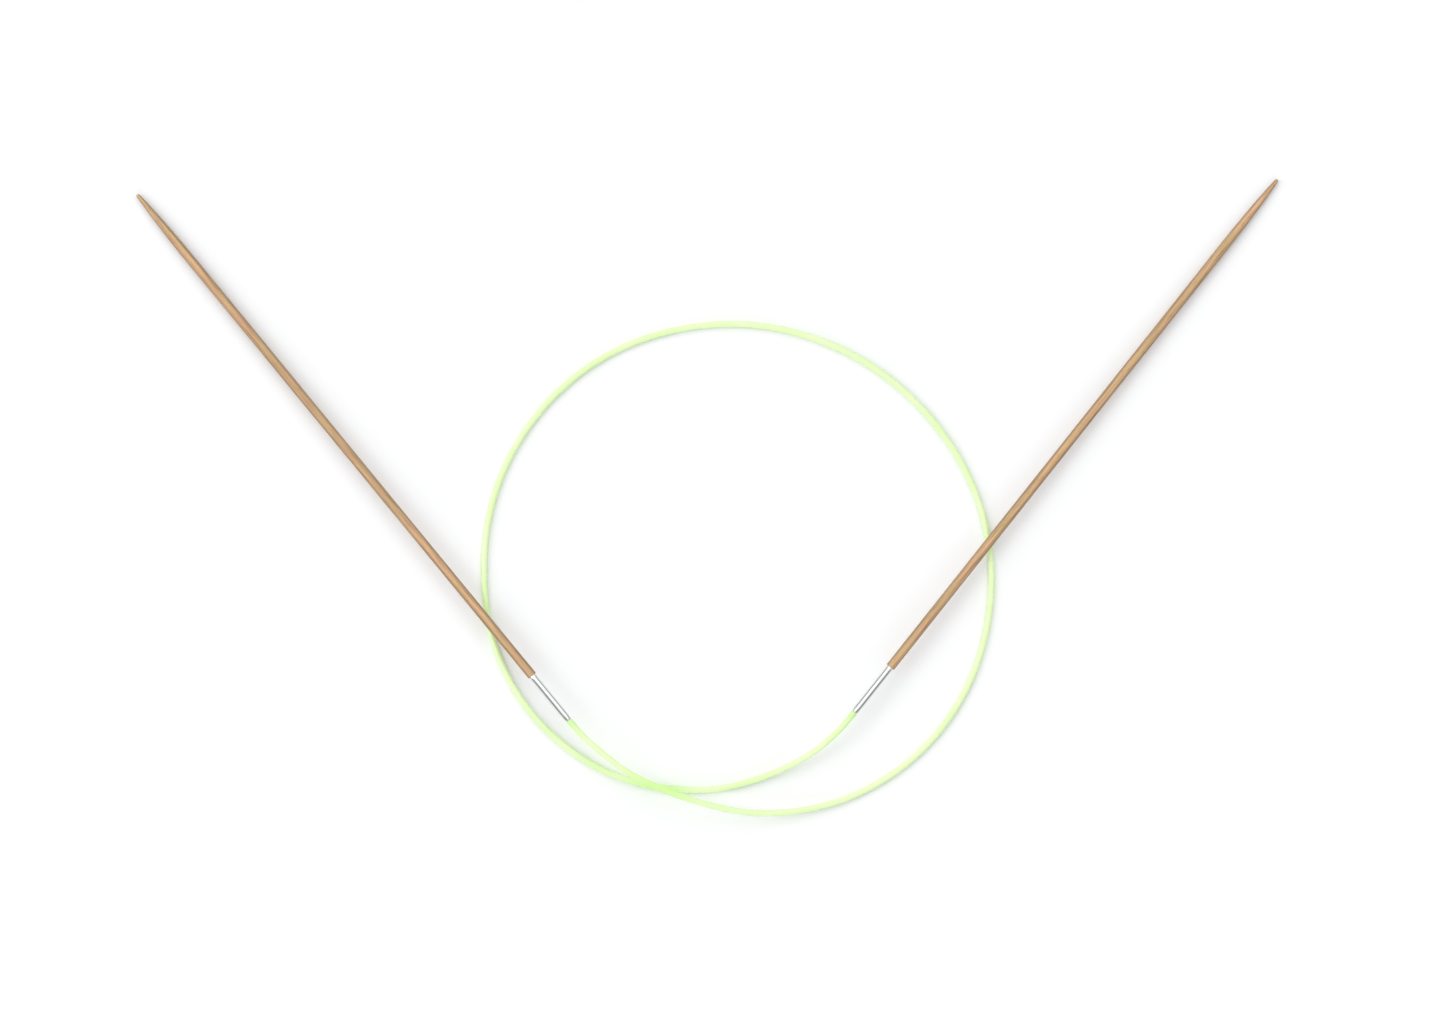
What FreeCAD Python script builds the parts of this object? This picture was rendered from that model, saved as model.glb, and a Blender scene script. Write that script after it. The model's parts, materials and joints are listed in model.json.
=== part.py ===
"""Circular knitting needle: two bamboo needles joined by one springy nylon cord.

Each needle is a turned bamboo tip glued into a thin steel ferrule. The ferrule's mouth is rolled in
over a steel bead crimped on the cord's end, so the needle turns freely about its own axis.

The pieces of a needle share one frame: its origin is at the ferrule's mouth and its +Z runs to the
point. The whole part lies on a table: +Z up, +X from the left needle to the right one, and the origin
on the table below the middle of the two needles.
"""

import FreeCAD, Part

import math
import os

import Sketcher
from FreeCAD import Placement, Rotation, Vector

DIMENSIONS = {
    "needle_length": (127.5, "ferrule mouth to point"),
    "shaft_radius": (0.875, "a 1.75 mm needle"),
    "taper_length": (17.0, "full section to point"),
    "nose_radius": (0.34, "round of the point"),
    "tenon_radius": (0.575, "turned end glued in the ferrule"),
    "tenon_length": (6.0, "depth of the glued joint"),
    "ferrule_length": (10.7, "mouth to the shoulder of the wood"),
    "ferrule_radius": (0.70, "outside of the steel tube"),
    "bore_radius": (0.575, "inside of the steel tube"),
    "lip_radius": (0.475, "hole left by the rolled mouth"),
    "lip_length": (0.35, "thickness of the rolled mouth"),
    "roll_radius": (0.16, "outer round of the rolled mouth"),
    "bead_radius": (0.545, "crimped bead, free to turn in the bore"),
    "bead_length": (3.0, "crimped bead"),
    "bead_chamfer": (0.08, "edge break at both ends of the bead"),
    "end_play": (0.15, "rolled mouth to the bead"),
    "mouth_gap": (0.10, "rolled mouth to the cord outside it"),
    "neck_radius": (0.40, "cord drawn down inside the ferrule"),
    "collar_radius": (0.625, "cord swollen just outside the mouth"),
    "collar_length": (0.95, "full section of the swelling"),
    "collar_fade": (0.85, "swelling back to the cord's own section"),
    "cord_radius": (0.575, "solid nylon line"),
}

# The route of the cord from the left mouth to the right one. It passes over itself in a long low hump,
# goes once round on the table, passes below the hump and climbs to the right mouth. Its first and last
# runs lie along the needles.
CORD_ROUTE = [
    (-25.96, -50.81, 3.33),
    (-23.855, -53.37, 3.4),
    (-20.4, -56.45, 3.8),
    (-14.5, -61.1, 4.8),
    (-3.0, -66.0, 4.8),
    (10.5, -69.0, 2.0),
    (26.5, -66.2, 0.6),
    (40.2, -57.5, 0.6),
    (49.6, -44.5, 0.6),
    (53.7, -28.7, 0.6),
    (52.5, -13.0, 0.6),
    (45.6, 1.8, 0.6),
    (34.4, 13.7, 0.6),
    (20.3, 21.3, 0.6),
    (4.5, 24.1, 0.6),
    (-11.8, 21.4, 0.6),
    (-25.6, 13.8, 0.6),
    (-36.2, 1.5, 0.6),
    (-41.8, -13.3, 0.6),
    (-42.0, -29.7, 0.6),
    (-38.6, -41.5, 0.6),
    (-31.9, -51.6, 0.6),
    (-22.4, -59.2, 0.6),
    (-12.4, -63.3, 0.6),
    (0.8, -64.4, 0.6),
    (11.7, -61.3, 1.0),
    (19.8, -57.0, 2.8),
    (23.4, -53.9, 3.6),
    (25.685, -51.59, 3.76),
    (27.49, -49.32, 3.69),
]

ARC_SHARE = 0.45  # of the shorter run beside a corner, for each side of its arc
BURIED = 0.5  # how far the neck starts inside the cord, so that the two fuse into one
FADE_INSET = 0.01  # the swelling ends this far below the cord's surface
VOLUME_TOLERANCE = 0.01

H_AXIS, V_AXIS = -1, -2  # numbers that the Sketcher gives a sketch's axes
START, END, CENTRE = 1, 2, 3  # and for the points of a line or an arc

doc = FreeCAD.newDocument("circular_knitting_needle")
sheet = doc.addObject("Spreadsheet::Sheet", "Dimensions")
for row, (alias, (value, note)) in enumerate(DIMENSIONS.items(), start=1):
    sheet.set(f"A{row}", note)
    sheet.set(f"B{row}", str(value))
    sheet.setAlias(f"B{row}", alias)
doc.recompute()


# ---------------------------------------------------------------- where the needles lie
def needle_placement(cord_end, cord_next):
    """The frame of the needle that the cord enters at cord_end, in line with its last run."""
    to_point = (Vector(*cord_end) - Vector(*cord_next)).normalize()
    mouth = Vector(*cord_end) + to_point * sheet.mouth_gap
    return Placement(mouth, Rotation(Vector(0, 0, 1), to_point))


PLACEMENTS = {
    "left": needle_placement(CORD_ROUTE[0], CORD_ROUTE[1]),
    "right": needle_placement(CORD_ROUTE[-1], CORD_ROUTE[-2]),
}


# ---------------------------------------------------------------- sketches for turned pieces
def length(text):
    """The value and the expression of aliases added up, such as "bore_radius - end_play"."""
    value = 0.0
    sign = 1
    words = []
    for word in text.split():
        if word in ("+", "-"):
            sign = 1 if word == "+" else -1
            words.append(word)
        else:
            value += sign * getattr(sheet, word)
            words.append(f"{sheet.Name}.{word}")
    return value, " ".join(words)


def bind(sketch, kind, geometry, text):
    """A constraint of this kind whose value follows the sheet."""
    value, expression = length(text)
    index = sketch.addConstraint(Sketcher.Constraint(kind, *geometry, value))
    sketch.setExpression(f"Constraints[{index}]", expression)


def pin_corner(sketch, edge, end, radius, height):
    """Holds one end of an edge at a radius and a height; None is on that axis."""
    for text, kind, axis in ((radius, "DistanceX", V_AXIS), (height, "DistanceY", H_AXIS)):
        if text is None:
            sketch.addConstraint(Sketcher.Constraint("PointOnObject", edge, end, axis))
        else:
            bind(sketch, kind, (H_AXIS, START, edge, end), text)


def draw_corners(sketch, corners, closed):
    """Straight edges through corners given as (radius, height). Returns the number of edges."""
    values = [Vector(*(length(text)[0] if text else 0.0 for text in corner)) for corner in corners]
    count = len(corners) if closed else len(corners) - 1
    for edge in range(count):
        after = (edge + 1) % len(corners)
        sketch.addGeometry(Part.LineSegment(values[edge], values[after]))
        pin_corner(sketch, edge, START, *corners[edge])
    for edge in range(1, count):
        sketch.addConstraint(Sketcher.Constraint("Coincident", edge - 1, END, edge, START))
    if closed:
        sketch.addConstraint(Sketcher.Constraint("Coincident", count - 1, END, 0, START))
    return count


def turned_body(label, side):
    """A body in its needle's frame, with an empty sketch of half its section."""
    body = doc.addObject("PartDesign::Body", label)
    body.Label = label
    body.Placement = PLACEMENTS[side]
    sketch = body.newObject("Sketcher::SketchObject", f"{label}_section")
    plane = next(o for o in body.Origin.OriginFeatures if o.Role == "XZ_Plane")
    sketch.AttachmentSupport = (plane, [""])
    sketch.MapMode = "FlatFace"
    return body, sketch


def revolve(body, sketch):
    turned = body.newObject("PartDesign::Revolution", f"{body.Label}_turned")
    turned.Profile = sketch
    turned.ReferenceAxis = (sketch, ["V_Axis"])
    turned.Angle = 360.0
    doc.recompute()
    return turned


# ---------------------------------------------------------------- bamboo tip
def make_tip(side):
    """Tenon, square shoulder, straight shaft and a long convex taper to a small round point."""
    body, sketch = turned_body(f"{side}_tip", side)
    tenon_base = "ferrule_length - tenon_length"
    shaft = draw_corners(
        sketch,
        [
            (None, tenon_base),
            ("tenon_radius", tenon_base),
            ("tenon_radius", "ferrule_length"),
            ("shaft_radius", "ferrule_length"),
            ("shaft_radius", "needle_length - taper_length"),
        ],
        closed=False,
    ) - 1
    pin_corner(sketch, shaft, END, "shaft_radius", "needle_length - taper_length")

    # the taper's circle is tangent to the shaft, and round the nose's circle from inside
    nose_height = sheet.needle_length - sheet.nose_radius
    reach = sheet.taper_length - sheet.nose_radius
    step = sheet.shaft_radius - sheet.nose_radius
    taper_radius = (reach**2 + sheet.shaft_radius**2 - sheet.nose_radius**2) / (2 * step)
    lean = math.asin(reach / (taper_radius - sheet.nose_radius))
    up = Vector(0, 0, 1)
    taper_centre = Vector(sheet.shaft_radius - taper_radius, nose_height - reach)
    taper = sketch.addGeometry(Part.ArcOfCircle(Part.Circle(taper_centre, up, taper_radius), 0, lean))
    nose_circle = Part.Circle(Vector(0, nose_height), up, sheet.nose_radius)
    nose = sketch.addGeometry(Part.ArcOfCircle(nose_circle, lean, math.pi / 2))
    axis = sketch.addGeometry(Part.LineSegment(Vector(0, sheet.needle_length), Vector(0, 1)))
    sketch.addConstraint(
        [
            Sketcher.Constraint("Tangent", shaft, END, taper, START),
            Sketcher.Constraint("Tangent", taper, END, nose, START),
            Sketcher.Constraint("PointOnObject", nose, CENTRE, V_AXIS),
            Sketcher.Constraint("Coincident", nose, END, axis, START),
            Sketcher.Constraint("Coincident", axis, END, 0, START),
        ]
    )
    bind(sketch, "Radius", (nose,), "nose_radius")
    pin_corner(sketch, nose, END, None, "needle_length")
    revolve(body, sketch)
    return body


# ---------------------------------------------------------------- steel ferrule
def make_ferrule(side):
    """A thin tube, square where it meets the wood, with its mouth rolled in to a smaller hole."""
    body, sketch = turned_body(f"{side}_ferrule", side)
    draw_corners(
        sketch,
        [
            ("lip_radius", None),
            ("ferrule_radius", None),
            ("ferrule_radius", "ferrule_length"),
            ("bore_radius", "ferrule_length"),
            ("bore_radius", "lip_length"),
            ("lip_radius", "lip_length"),
        ],
        closed=True,
    )
    tube = revolve(body, sketch)
    rim = min(
        range(len(tube.Shape.Edges)),
        key=lambda i: (
            round(tube.Shape.Edges[i].BoundBox.ZMax, 6),
            -tube.Shape.Edges[i].BoundBox.XLength,
        ),
    )
    roll = body.newObject("PartDesign::Fillet", f"{side}_ferrule_roll")
    roll.Base = (tube, [f"Edge{rim + 1}"])
    roll.setExpression("Radius", f"{sheet.Name}.roll_radius")
    doc.recompute()
    return body


# ---------------------------------------------------------------- crimped bead
def make_bead(side):
    """A short steel sleeve crimped on the cord's neck, which the rolled mouth holds in."""
    body, sketch = turned_body(f"{side}_bead", side)
    rear = "lip_length + end_play"
    front = f"{rear} + bead_length"
    draw_corners(
        sketch,
        [
            ("neck_radius", rear),
            ("bead_radius - bead_chamfer", rear),
            ("bead_radius", f"{rear} + bead_chamfer"),
            ("bead_radius", f"{front} - bead_chamfer"),
            ("bead_radius - bead_chamfer", front),
            ("neck_radius", front),
        ],
        closed=True,
    )
    revolve(body, sketch)
    return body


# ---------------------------------------------------------------- cord
def rounded_path(points):
    """Straight runs joined by tangent arcs, as a wire, with the radius of each arc."""
    points = [Vector(*p) for p in points]
    edges = []
    radii = []
    reached = points[0]
    for before, corner, after in zip(points, points[1:], points[2:]):
        way_in = (corner - before).normalize()
        way_out = (after - corner).normalize()
        half_turn = way_in.getAngle(way_out) / 2
        cut = ARC_SHARE * min((corner - before).Length, (after - corner).Length)
        radius = cut / math.tan(half_turn)
        arc_start = corner - way_in * cut
        arc_end = corner + way_out * cut
        inward = (way_out - way_in).normalize()
        arc_middle = corner + inward * radius * (1 / math.cos(half_turn) - 1)
        edges.append(Part.LineSegment(reached, arc_start).toShape())
        edges.append(Part.Arc(arc_start, arc_middle, arc_end).toShape())
        radii.append(radius)
        reached = arc_end
    edges.append(Part.LineSegment(reached, points[-1]).toShape())
    return Part.Wire(edges), radii


def cord_end(placement):
    """The neck inside the ferrule and the swelling outside its mouth, in their place."""
    neck_end = sheet.lip_length + sheet.end_play + sheet.bead_length
    neck_start = -sheet.mouth_gap - BURIED
    neck = Part.makeCylinder(sheet.neck_radius, neck_end - neck_start, Vector(0, 0, neck_start))
    out = Vector(0, 0, -1)
    start = out * sheet.mouth_gap
    collar = Part.makeCylinder(sheet.collar_radius, sheet.collar_length, start, out)
    fade = Part.makeCone(
        sheet.collar_radius,
        sheet.cord_radius - FADE_INSET,
        sheet.collar_fade,
        start + out * sheet.collar_length,
        out,
    )
    shapes = [neck, collar, fade]
    for shape in shapes:
        shape.Placement = placement.multiply(shape.Placement)
    return shapes


def make_cord():
    path, radii = rounded_path(CORD_ROUTE)
    start = Vector(*CORD_ROUTE[0])
    along = Vector(*CORD_ROUTE[1]) - start
    section = Part.Wire([Part.makeCircle(sheet.cord_radius, start, along)])
    tube = path.makePipeShell([section], True, False)
    expected = math.pi * sheet.cord_radius**2 * path.Length
    if abs(tube.Volume / expected - 1) > VOLUME_TOLERANCE:
        raise RuntimeError(f"the cord's volume is {tube.Volume:.1f}, not {expected:.1f} mm3")
    print(f"cord: {path.Length:.1f} mm, lowest {tube.optimalBoundingBox(False, False).ZMin:.3f} mm")
    print("cord radii:", ", ".join(f"{radius:.1f}" for radius in radii))
    ends = [shape for side in PLACEMENTS for shape in cord_end(PLACEMENTS[side])]
    cord = doc.addObject("Part::Feature", "cord")
    cord.Label = "cord"
    cord.Shape = tube.fuse(ends).removeSplitter()
    return cord


# ---------------------------------------------------------------- build, check and write
parts = []
for side in PLACEMENTS:
    parts += [make_tip(side), make_ferrule(side), make_bead(side)]
parts.append(make_cord())
doc.recompute()

for item in doc.Objects:
    if "Invalid" in item.State or "Error" in item.State:
        raise RuntimeError(f"{item.Label} failed: {item.State}")
for item in parts:
    if item.Shape.isNull() or not item.Shape.isValid() or len(item.Shape.Solids) != 1:
        raise RuntimeError(f"{item.Label} has no single valid solid")

os.makedirs("parts", exist_ok=True)
for item in parts:
    item.Shape.exportStep(f"parts/{item.Label}.step")
    box = item.Shape.optimalBoundingBox(False, False)
    print(f"{item.Label}: {item.Shape.Volume:.2f} mm3, z {box.ZMin:.3f} to {box.ZMax:.3f}")
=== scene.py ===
"""Looks for the circular knitting needle: bamboo tips, polished ferrules and a milky lime nylon cord."""

import json
import math

import bpy
from mathutils import Matrix, Vector


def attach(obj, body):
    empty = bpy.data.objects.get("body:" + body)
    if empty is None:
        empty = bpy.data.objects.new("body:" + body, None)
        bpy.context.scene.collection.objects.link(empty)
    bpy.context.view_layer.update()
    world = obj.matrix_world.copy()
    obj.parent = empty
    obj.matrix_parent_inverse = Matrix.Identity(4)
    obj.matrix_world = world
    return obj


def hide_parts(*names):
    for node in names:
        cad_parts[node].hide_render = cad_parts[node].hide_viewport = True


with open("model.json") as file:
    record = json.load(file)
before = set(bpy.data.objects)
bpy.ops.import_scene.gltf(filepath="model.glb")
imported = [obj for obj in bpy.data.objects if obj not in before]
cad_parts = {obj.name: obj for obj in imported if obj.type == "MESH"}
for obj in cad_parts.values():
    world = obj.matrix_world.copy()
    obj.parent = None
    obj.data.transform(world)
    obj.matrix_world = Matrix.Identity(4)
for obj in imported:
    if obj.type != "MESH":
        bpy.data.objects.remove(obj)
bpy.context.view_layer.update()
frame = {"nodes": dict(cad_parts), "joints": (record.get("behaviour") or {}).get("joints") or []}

MM = 0.001

# ---------------------------------------------------------------- sizes, in millimetres
# along a needle's axis, from the ferrule's mouth towards the point
NEEDLE_LENGTH = 127.5
FERRULE_LENGTH = 10.7
TENON_START = 4.7
TAPER_START = 110.5
BEAD_END = 3.5
LIP_LENGTH = 0.35
SPUN_LENGTH = 1.1
MOUTH_GAP = 0.1

SHAFT_RADIUS = 0.875
NOSE_RADIUS = 0.34
TENON_RADIUS = 0.575
FERRULE_RADIUS = 0.70
BORE_RADIUS = 0.575
LIP_RADIUS = 0.475
NECK_RADIUS = 0.40
CORD_RADIUS = 0.575
COLLAR_RADIUS = 0.625

# The cord's route, in metres: the same points as the CAD tube's.
CORD_ROUTE = [
    (-0.02596, -0.05081, 0.00333),
    (-0.023855, -0.05337, 0.0034),
    (-0.0204, -0.05645, 0.0038),
    (-0.0145, -0.0611, 0.0048),
    (-0.0030, -0.0660, 0.0048),
    (0.0105, -0.0690, 0.0020),
    (0.0265, -0.0662, 0.0006),
    (0.0402, -0.0575, 0.0006),
    (0.0496, -0.0445, 0.0006),
    (0.0537, -0.0287, 0.0006),
    (0.0525, -0.0130, 0.0006),
    (0.0456, 0.0018, 0.0006),
    (0.0344, 0.0137, 0.0006),
    (0.0203, 0.0213, 0.0006),
    (0.0045, 0.0241, 0.0006),
    (-0.0118, 0.0214, 0.0006),
    (-0.0256, 0.0138, 0.0006),
    (-0.0362, 0.0015, 0.0006),
    (-0.0418, -0.0133, 0.0006),
    (-0.0420, -0.0297, 0.0006),
    (-0.0386, -0.0415, 0.0006),
    (-0.0319, -0.0516, 0.0006),
    (-0.0224, -0.0592, 0.0006),
    (-0.0124, -0.0633, 0.0006),
    (0.0008, -0.0644, 0.0006),
    (0.0117, -0.0613, 0.0010),
    (0.0198, -0.0570, 0.0028),
    (0.0234, -0.0539, 0.0036),
    (0.025685, -0.05159, 0.00376),
    (0.02749, -0.04932, 0.00369),
]
CROSSING = (-0.0090, -0.0635, 0.0028)  # where the cord passes over itself


def needle_matrix(side):
    """The needle's frame from its swivel: origin at the ferrule's mouth, +Z to the point."""
    joint = next(j for j in frame["joints"] if j["name"] == f"{side}_swivel")
    turn = Vector(joint["axis"]).to_track_quat("Z", "Y")
    return Matrix.Translation(joint["pos_m"]) @ turn.to_matrix().to_4x4()


MOUTHS = {side: needle_matrix(side) for side in ("left", "right")}


# ---------------------------------------------------------------- camera, light and floor
LIGHTS = [  # name, azimuth, height and apparent width in degrees, strength
    ("overhead", 90.0, 68.0, 84.0, 1.32),
    ("high_left", 180.0, 50.0, 36.0, 0.40),
    ("left_side", 178.0, 26.0, 40.0, 0.80),
    ("right_side", 0.0, 30.0, 40.0, 0.25),
    ("far_side", 90.0, 34.0, 50.0, 0.45),
    ("near_side", -90.0, 26.0, 40.0, 0.70),
]


def make_camera():
    """Straight down through a long lens, with the needles spread across the upper half."""
    view_width = 0.2711
    height = 1.5
    farthest = 100.0
    camera = bpy.data.objects.new("camera", bpy.data.cameras.new("camera"))
    camera.data.sensor_width = 36.0
    camera.data.lens = camera.data.sensor_width * height / view_width
    camera.data.clip_end = farthest
    camera.location = (0.0028, -0.0122, height)
    bpy.context.scene.collection.objects.link(camera)
    bpy.context.scene.camera = camera


def make_light(name, azimuth, height, width, strength):
    """Soft light from far away. A wide one has soft shadows."""
    light = bpy.data.lights.new(name, "SUN")
    light.angle = math.radians(width)
    light.energy = strength
    lamp = bpy.data.objects.new(name, light)
    lamp.rotation_euler = (math.radians(90 - height), 0.0, math.radians(azimuth + 90))
    bpy.context.scene.collection.objects.link(lamp)


def make_world():
    """An even, slightly cool light from the whole sky."""
    world = bpy.data.worlds.new("studio")
    world.use_nodes = True
    background = world.node_tree.nodes["Background"]
    background.inputs["Color"].default_value = (0.94, 0.97, 1.0, 1.0)
    background.inputs["Strength"].default_value = 0.34
    bpy.context.scene.world = world


def make_floor():
    """White matt paper, wide enough that a low view doesn't reach its end."""
    half = 40.0
    mesh = bpy.data.meshes.new("floor")
    corners = [(-half, -half, 0), (half, -half, 0), (half, half, 0), (-half, half, 0)]
    mesh.from_pydata(corners, [], [(0, 1, 2, 3)])
    floor = bpy.data.objects.new("floor", mesh)
    bpy.context.scene.collection.objects.link(floor)
    paper = bpy.data.materials.new("white_paper")
    paper.use_nodes = True
    shader = paper.node_tree.nodes["Principled BSDF"]
    shader.inputs["Base Color"].default_value = (0.9, 0.9, 0.9, 1.0)
    shader.inputs["Roughness"].default_value = 0.9
    shader.inputs["Specular IOR Level"].default_value = 0.0
    mesh.materials.append(paper)


make_camera()
make_world()
for light_facts in LIGHTS:
    make_light(*light_facts)
make_floor()
bpy.context.scene.view_settings.view_transform = "Standard"


# ---------------------------------------------------------------- node helpers
class Nodes:
    """A material's node tree, with short calls to add and link nodes."""

    def __init__(self, name):
        self.material = bpy.data.materials.new(name)
        self.material.use_nodes = True
        self.tree = self.material.node_tree
        self.shader = self.tree.nodes["Principled BSDF"]

    def add(self, kind, **settings):
        node = self.tree.nodes.new(kind)
        for key, value in settings.items():
            setattr(node, key, value)
        return node

    def link(self, source, target):
        self.tree.links.new(source, target)

    def place(self, scale):
        """The piece's own coordinates in millimetres, stretched by scale."""
        attribute = self.add("ShaderNodeAttribute", attribute_name="own_mm")
        mapping = self.add("ShaderNodeMapping")
        mapping.inputs["Scale"].default_value = scale
        self.link(attribute.outputs["Vector"], mapping.inputs["Vector"])
        return mapping.outputs["Vector"]

    def sideways(self):
        """How far out to either side a place on a turned piece is: 0 on top and below, 1 at the sides. The
        bamboo's painted side shade follows it.
        """
        return self.add("ShaderNodeAttribute", attribute_name="sideways").outputs["Fac"]

    def distance(self, vector, place):
        """How far a vector is from a fixed place."""
        node = self.add("ShaderNodeVectorMath", operation="DISTANCE")
        node.inputs[1].default_value = place
        self.link(vector, node.inputs[0])
        return node.outputs["Value"]

    def noise(self, vector, scale, detail=2.0, roughness=0.5):
        node = self.add("ShaderNodeTexNoise")
        node.inputs["Scale"].default_value = scale
        node.inputs["Detail"].default_value = detail
        node.inputs["Roughness"].default_value = roughness
        self.link(vector, node.inputs["Vector"])
        return node.outputs["Fac"]

    def ramp(self, factor, stops):
        """A colour that follows the factor through stops of (position, colour)."""
        node = self.add("ShaderNodeValToRGB")
        elements = node.color_ramp.elements
        while len(elements) < len(stops):
            elements.new(0.5)
        for element, (position, color) in zip(elements, stops):
            element.position = position
            element.color = (*color, 1.0)
        self.link(factor, node.inputs["Fac"])
        return node.outputs["Color"]

    def spread(self, value, low, high, to_low, to_high):
        """The value, with the range from low to high moved to the range from to_low to to_high."""
        node = self.add("ShaderNodeMapRange")
        for key, number in zip(("From Min", "From Max", "To Min", "To Max"), (low, high, to_low, to_high)):
            node.inputs[key].default_value = number
        self.link(value, node.inputs["Value"])
        return node.outputs["Result"]

    def multiply(self, one, other, share=1.0):
        """One colour darkened or tinted by another one."""
        node = self.add("ShaderNodeMix", data_type="RGBA", blend_type="MULTIPLY")
        factor, first, second = (node.inputs[index] for index in (0, 6, 7))
        factor.default_value = share
        self.link(one, first)
        self.link(other, second)
        return node.outputs[2]

    def bump(self, height, distance):
        """Relief that is distance deep, in metres."""
        node = self.add("ShaderNodeBump")
        node.inputs["Strength"].default_value = 1.0
        node.inputs["Distance"].default_value = distance
        self.link(height, node.inputs["Height"])
        self.link(node.outputs["Normal"], self.shader.inputs["Normal"])


def set_shader(shader, **values):
    """Sets inputs by their names, with _ for each space."""
    for key, value in values.items():
        shader.inputs[key.replace("_", " ")].default_value = value


# ---------------------------------------------------------------- materials
# The fibres, from the dark gaps between them to the palest ones.
FIBRE_COLOURS = [
    (0.30, (0.290, 0.165, 0.080)),
    (0.45, (0.510, 0.322, 0.168)),
    (0.60, (0.595, 0.386, 0.206)),
    (0.75, (0.660, 0.448, 0.262)),
]
STRIPE_SHADES = [(0.36, (0.82, 0.82, 0.81)), (0.50, (0.98, 0.98, 0.98)), (0.64, (1.10, 1.08, 1.08))]
OCHRE_TO_PINK = [(0.38, (0.96, 1.01, 0.93)), (0.62, (1.04, 0.97, 1.00))]
PORE_SHADES = [(0.26, (0.62, 0.56, 0.50)), (0.36, (1.0, 1.0, 1.0))]
# Painted shade across a shaft: lighter along its top and underside, darker towards its two sides, as a round
# shaft lit from above looks.
PAINTED_SIDE_SHADE = [
    (0.0, (1.12, 1.10, 1.07)),
    (0.38, (1.02, 1.01, 1.0)),
    (0.70, (0.82, 0.80, 0.79)),
    (0.90, (0.56, 0.54, 0.54)),
]


def make_bamboo():
    """Carbonised bamboo: straight fibres, pink beside ochre, under a thin wax sheen, with painted shade
    towards the shaft's two sides.
    """
    nodes = Nodes("bamboo")
    fine = nodes.noise(nodes.place((5.0, 5.0, 0.11)), scale=1.6, detail=4.0, roughness=0.6)
    stripes = nodes.noise(nodes.place((2.6, 2.6, 0.06)), scale=1.0, detail=2.0)
    broad = nodes.noise(nodes.place((1.4, 1.4, 0.12)), scale=1.0, detail=1.0)
    specks = nodes.noise(nodes.place((9.0, 9.0, 0.8)), scale=1.3, detail=1.0)
    color = nodes.ramp(fine, FIBRE_COLOURS)
    color = nodes.multiply(color, nodes.ramp(stripes, STRIPE_SHADES))
    color = nodes.multiply(color, nodes.ramp(broad, OCHRE_TO_PINK))
    color = nodes.multiply(color, nodes.ramp(specks, PORE_SHADES), share=0.8)
    # Painted shade: darker towards the shaft's two sides, lighter along its top.
    color = nodes.multiply(color, nodes.ramp(nodes.sideways(), PAINTED_SIDE_SHADE))
    roughness = nodes.spread(fine, low=0.3, high=0.7, to_low=0.56, to_high=0.40)
    nodes.link(color, nodes.shader.inputs["Base Color"])
    nodes.link(roughness, nodes.shader.inputs["Roughness"])
    nodes.bump(fine, 0.02 * MM)
    set_shader(nodes.shader, Specular_IOR_Level=0.4, Coat_Weight=0.3, Coat_Roughness=0.22)
    return nodes.material


def make_ferrule_steel():
    """Stainless tube with the faint rings of drawing and polishing."""
    nodes = Nodes("polished_steel")
    rings = nodes.noise(nodes.place((0.4, 0.4, 22.0)), scale=1.0, detail=3.0, roughness=0.6)
    smear = nodes.noise(nodes.place((1.2, 1.2, 0.35)), scale=1.0, detail=2.0)
    roughness = nodes.spread(smear, low=0.3, high=0.7, to_low=0.15, to_high=0.22)
    set_shader(nodes.shader, Metallic=1.0, Base_Color=(0.80, 0.80, 0.79, 1.0))
    nodes.link(roughness, nodes.shader.inputs["Roughness"])
    nodes.bump(rings, 0.002 * MM)
    return nodes.material


def make_bead_steel():
    """Plain crimped steel with a fine matt grain. The CAD's own beads wear it."""
    nodes = Nodes("crimp_steel")
    position = nodes.add("ShaderNodeTexCoord").outputs["Object"]
    grain = nodes.noise(position, scale=6000.0, detail=2.0)
    smear = nodes.noise(position, scale=900.0, detail=2.0)
    shade = nodes.ramp(smear, [(0.35, (0.56, 0.55, 0.53)), (0.65, (0.66, 0.65, 0.63))])
    roughness = nodes.spread(smear, low=0.3, high=0.7, to_low=0.28, to_high=0.40)
    set_shader(nodes.shader, Metallic=1.0)
    nodes.link(shade, nodes.shader.inputs["Base Color"])
    nodes.link(roughness, nodes.shader.inputs["Roughness"])
    nodes.bump(grain, 0.006 * MM)
    return nodes.material


# The green is deepest within the first distance of each place, and as usual beyond the second one.
# The deeper green round the crossing is painted shade where the cord lies over itself.
DEEP_GREENS = [(CROSSING, 2 * MM, 8 * MM, (0.79, 0.95, 0.60))]
# Near each ferrule's mouth the green is a little deeper.
DEEP_GREENS += [(tuple(mouth.translation), MM, 3 * MM, (0.86, 0.93, 0.80)) for mouth in MOUTHS.values()]


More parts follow.
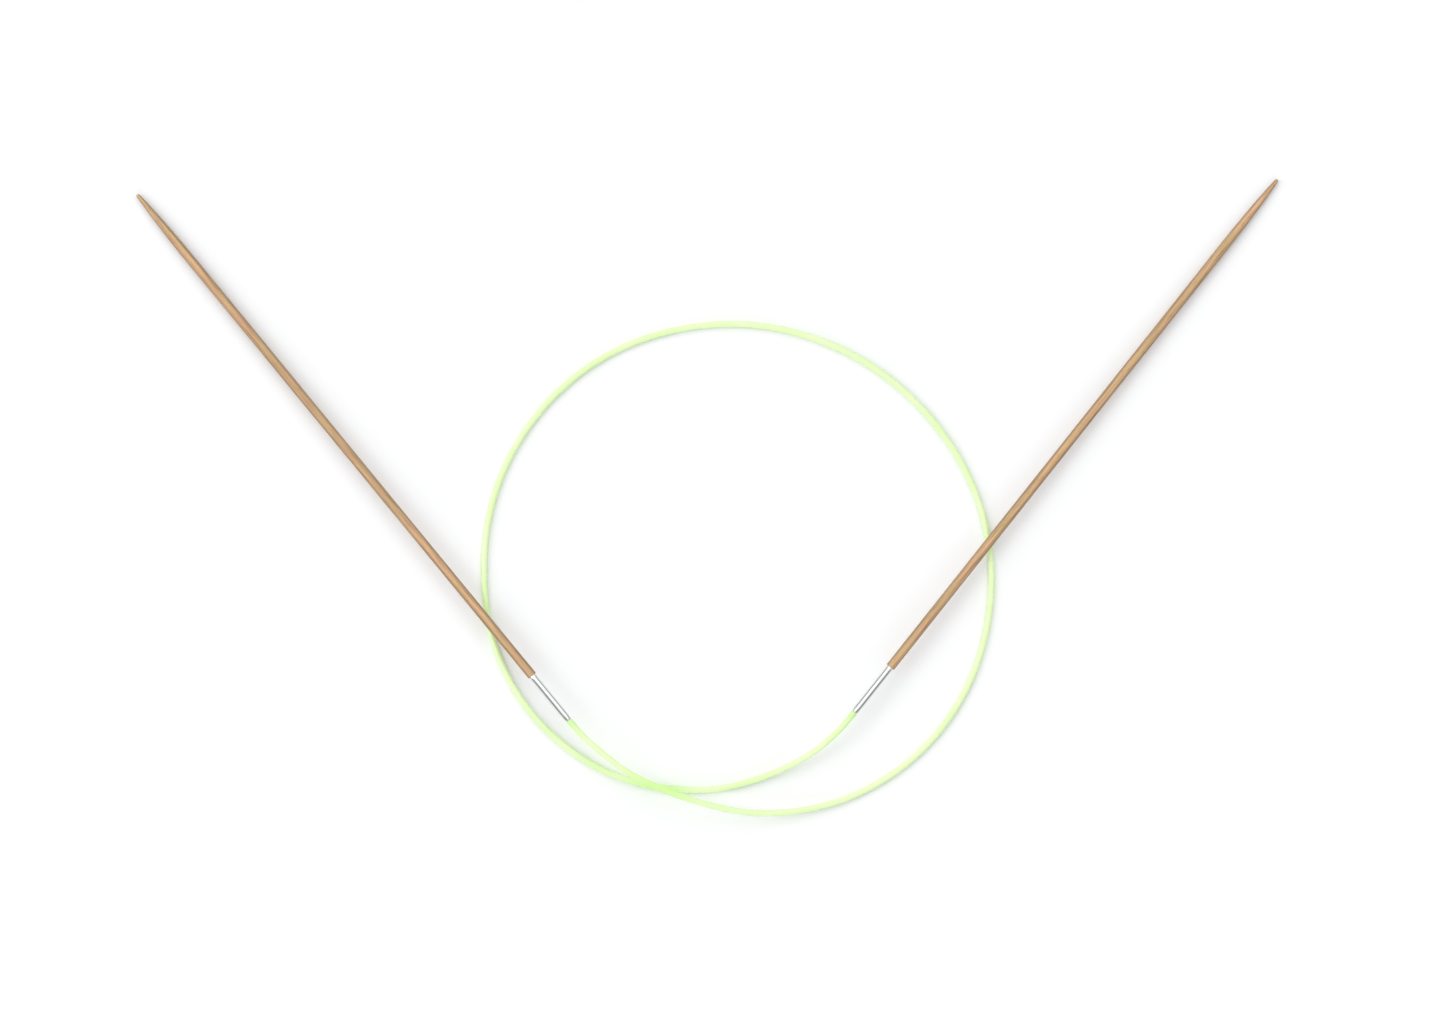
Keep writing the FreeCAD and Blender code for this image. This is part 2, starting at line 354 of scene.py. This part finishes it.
def make_nylon():
    """Milky lime nylon: light soaks through it. Its green is deeper near the ferrules' mouths, and painted
    shade deepens it where the cord crosses over itself.
    """
    nodes = Nodes("green_nylon")
    position = nodes.add("ShaderNodeTexCoord").outputs["Object"]
    cloud = nodes.noise(position, scale=260.0, detail=2.0)
    dye = nodes.noise(position, scale=120.0, detail=1.0)
    tint = nodes.ramp(dye, [(0.35, (0.77, 0.98, 0.53)), (0.65, (0.72, 0.97, 0.47))])
    for place, full, none, color in DEEP_GREENS:
        reach = nodes.spread(nodes.distance(position, place), full, none, 0.0, 1.0)
        tint = nodes.multiply(tint, nodes.ramp(reach, [(0.0, color), (1.0, (1.0, 1.0, 1.0))]))
    roughness = nodes.spread(cloud, low=0.3, high=0.7, to_low=0.22, to_high=0.32)
    nodes.link(tint, nodes.shader.inputs["Base Color"])
    nodes.link(roughness, nodes.shader.inputs["Roughness"])
    set_shader(nodes.shader, IOR=1.53, Subsurface_Weight=0.35,
               Subsurface_Radius=(0.8, 1.0, 0.4), Subsurface_Scale=MM)
    return nodes.material


BAMBOO = make_bamboo()
FERRULE_STEEL = make_ferrule_steel()
BEAD_STEEL = make_bead_steel()
NYLON = make_nylon()


# ---------------------------------------------------------------- turned pieces
def arc(centre_radius, centre_height, radius, start, end, steps):
    """Points (radius, height) round part of a circle, from one angle to another, in degrees."""
    points = []
    for step in range(steps + 1):
        angle = math.radians(start + (end - start) * step / steps)
        points.append((centre_radius + radius * math.cos(angle), centre_height + radius * math.sin(angle)))
    return points


def line(start, end, steps):
    """Points from start to end, without the start itself."""
    return [
        tuple(a + (b - a) * step / steps for a, b in zip(start, end))
        for step in range(1, steps + 1)
    ]


ON_AXIS = 1e-6  # a smaller radius is a single point
GRAIN_OFFSETS = {"left": 0.0, "right": 250.0}  # so that the two needles' patterns differ


def lathe(name, outline, side, material, body, node, segments, relief=None, ring=False):
    """Turns an outline of (radius, height) in millimetres about a needle's axis and puts it there.

    The outline starts and ends on the axis, or goes round in a ring. Relief is a function of angle,
    height and radius that gives an extra radius.
    """
    vertices = []
    sides = []
    rows = []
    for radius, height in outline:
        if radius < ON_AXIS:
            rows.append([len(vertices)])
            vertices.append(Vector((0, 0, height)))
            # A point on the axis counts as fully to the side, so the bamboo's painted side shade darkens the
            # needle's point.
            sides.append(1.0)
            continue
        rows.append(list(range(len(vertices), len(vertices) + segments)))
        for segment in range(segments):
            angle = 2 * math.pi * segment / segments
            reach = radius + (relief(angle, height, radius) if relief else 0.0)
            vertices.append(Vector((reach * math.cos(angle), reach * math.sin(angle), height)))
            sides.append(abs(math.cos(angle)))
    faces = []
    pairs = list(zip(rows, rows[1:]))
    if ring:
        pairs.append((rows[-1], rows[0]))
    for low, high in pairs:
        for segment in range(segments):
            after = (segment + 1) % segments
            if len(low) == 1:
                faces.append((low[0], high[after], high[segment]))
            elif len(high) == 1:
                faces.append((low[segment], low[after], high[0]))
            else:
                faces.append((low[segment], low[after], high[after], high[segment]))
    mesh = bpy.data.meshes.new(name)
    matrix = MOUTHS[side]
    mesh.from_pydata([matrix @ (v * MM) for v in vertices], [], faces)
    own = mesh.attributes.new("own_mm", "FLOAT_VECTOR", "POINT")
    offset = Vector((0, 0, GRAIN_OFFSETS[side]))
    own.data.foreach_set("vector", [x for v in vertices for x in v + offset])
    mesh.attributes.new("sideways", "FLOAT", "POINT").data.foreach_set("value", sides)
    mesh.shade_smooth()
    mesh.materials.append(material)
    piece = bpy.data.objects.new(name, mesh)
    bpy.context.scene.collection.objects.link(piece)
    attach(piece, body)
    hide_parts(node)
    return piece


# ---------------------------------------------------------------- bamboo tips
NOSE_HEIGHT = NEEDLE_LENGTH - NOSE_RADIUS
TAPER_POWER = 2.3


def taper_radius(height):
    """The shaft's radius, which falls away faster and faster towards the point."""
    share = (height - TAPER_START) / (NOSE_HEIGHT - TAPER_START)
    return SHAFT_RADIUS - (SHAFT_RADIUS - NOSE_RADIUS) * share**TAPER_POWER


FIBRE_WAVES = [(7, 0.35, 0.9), (11, 0.25, 2.3), (16, 0.20, 4.1), (23, 0.20, 0.4)]  # ridges, share, phase
FIBRE_WANDER = 0.6  # radians, over a few centimetres
FIBRE_DEPTH = 0.006


def fibre_relief(angle, height, radius):
    """Shallow ridges along the fibres, which wander a little; always inwards."""
    wave = sum(
        share * math.cos(count * angle + phase + FIBRE_WANDER * math.sin(height / (9.0 + count) + phase))
        for count, share, phase in FIBRE_WAVES
    )
    return FIBRE_DEPTH * (wave - 1.0) * radius / SHAFT_RADIUS


def make_tip(side):
    """The wood, from its tenon in the ferrule over the shoulder and the shaft to the point."""
    shoulder_round = 0.07
    shoulder_radius = SHAFT_RADIUS - shoulder_round
    tenon_bevel = 0.05
    taper_steps = 40
    taper_step = (NOSE_HEIGHT - TAPER_START) / taper_steps
    outline = [(0.0, TENON_START), (TENON_RADIUS - tenon_bevel, TENON_START)]
    outline += [(TENON_RADIUS, TENON_START + tenon_bevel)]
    outline += line(outline[-1], (TENON_RADIUS, FERRULE_LENGTH), 6)
    outline += line(outline[-1], (shoulder_radius, FERRULE_LENGTH), 3)
    outline += arc(shoulder_radius, FERRULE_LENGTH + shoulder_round, shoulder_round, -90, 0, 5)[1:]
    outline += line(outline[-1], (SHAFT_RADIUS, TAPER_START), 104)
    heights = [TAPER_START + taper_step * step for step in range(1, taper_steps + 1)]
    outline += [(taper_radius(height), height) for height in heights]
    outline += arc(0.0, NOSE_HEIGHT, NOSE_RADIUS, 0, 90, 10)[1:-1] + [(0.0, NEEDLE_LENGTH)]
    lathe(
        f"{side}_bamboo_tip", outline, side, BAMBOO, f"{side}_needle", f"{side}_tip",
        segments=96, relief=fibre_relief,
    )


# ---------------------------------------------------------------- ferrules
def make_ferrule(side):
    """The steel tube. Its mouth is spun in over about a millimetre and rolled over towards the cord."""
    rim = 0.615
    roll = 0.07
    bore_end = 1.3
    spun_steps = 12
    outline = [(BORE_RADIUS, FERRULE_LENGTH), (BORE_RADIUS, bore_end)]
    outline += [(BORE_RADIUS - 0.02, LIP_LENGTH + 0.06), (LIP_RADIUS + 0.03, LIP_LENGTH)]
    outline += [(LIP_RADIUS, LIP_LENGTH - 0.05), (LIP_RADIUS, 0.06)]
    outline += [(LIP_RADIUS + 0.02, 0.015), (LIP_RADIUS + 0.05, 0.0)]
    outline += arc(rim - roll, roll, roll, -90, 0, 6)
    for step in range(1, spun_steps + 1):
        share = step / spun_steps
        height = roll + share * (SPUN_LENGTH - roll)
        outline.append((rim + (FERRULE_RADIUS - rim) * math.sin(share * math.pi / 2), height))
    outline += line(outline[-1], (FERRULE_RADIUS, FERRULE_LENGTH - 0.04), 12)
    outline += [(FERRULE_RADIUS - 0.012, FERRULE_LENGTH - 0.01), (FERRULE_RADIUS - 0.04, FERRULE_LENGTH)]
    lathe(
        f"{side}_steel_ferrule", outline, side, FERRULE_STEEL, f"{side}_needle", f"{side}_ferrule",
        segments=72, ring=True,
    )


# ---------------------------------------------------------------- cord
def make_neck(side):
    """The cord's drawn-down end, inside the ferrule and its bead. It starts a little way inside the cord."""
    overlap = 0.35
    bevel = 0.06
    start = -MOUTH_GAP - overlap
    outline = [(0.0, start), (NECK_RADIUS - bevel, start), (NECK_RADIUS, start + bevel)]
    outline += line(outline[-1], (NECK_RADIUS, BEAD_END - bevel), 8)
    outline += [(NECK_RADIUS - bevel, BEAD_END), (0.0, BEAD_END)]
    return lathe(f"{side}_cord_neck", outline, side, NYLON, "cord", "cord", segments=40)


def make_cord():
    """One round line along the route, swollen at its two ends."""
    curve = bpy.data.curves.new("nylon_cord", "CURVE")
    curve.dimensions = "3D"
    spline = curve.splines.new("NURBS")
    spline.points.add(len(CORD_ROUTE) - 1)
    for point, place in zip(spline.points, CORD_ROUTE):
        point.co = (*place, 1.0)
    swell = COLLAR_RADIUS / CORD_RADIUS
    spline.points[0].radius = swell
    spline.points[-1].radius = swell
    spline.order_u = 3
    spline.use_endpoint_u = True
    spline.resolution_u = 16
    curve.bevel_depth = CORD_RADIUS * MM
    curve.bevel_resolution = 7
    curve.use_fill_caps = True
    curve.materials.append(NYLON)
    cord = bpy.data.objects.new("nylon_cord", curve)
    bpy.context.scene.collection.objects.link(cord)
    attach(cord, "cord")
    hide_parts("cord")
    return cord


for side in MOUTHS:
    make_tip(side)
    make_ferrule(side)
    make_neck(side)
    bead = frame["nodes"][f"{side}_bead"]
    bead.material_slots[0].material = BEAD_STEEL

make_cord()
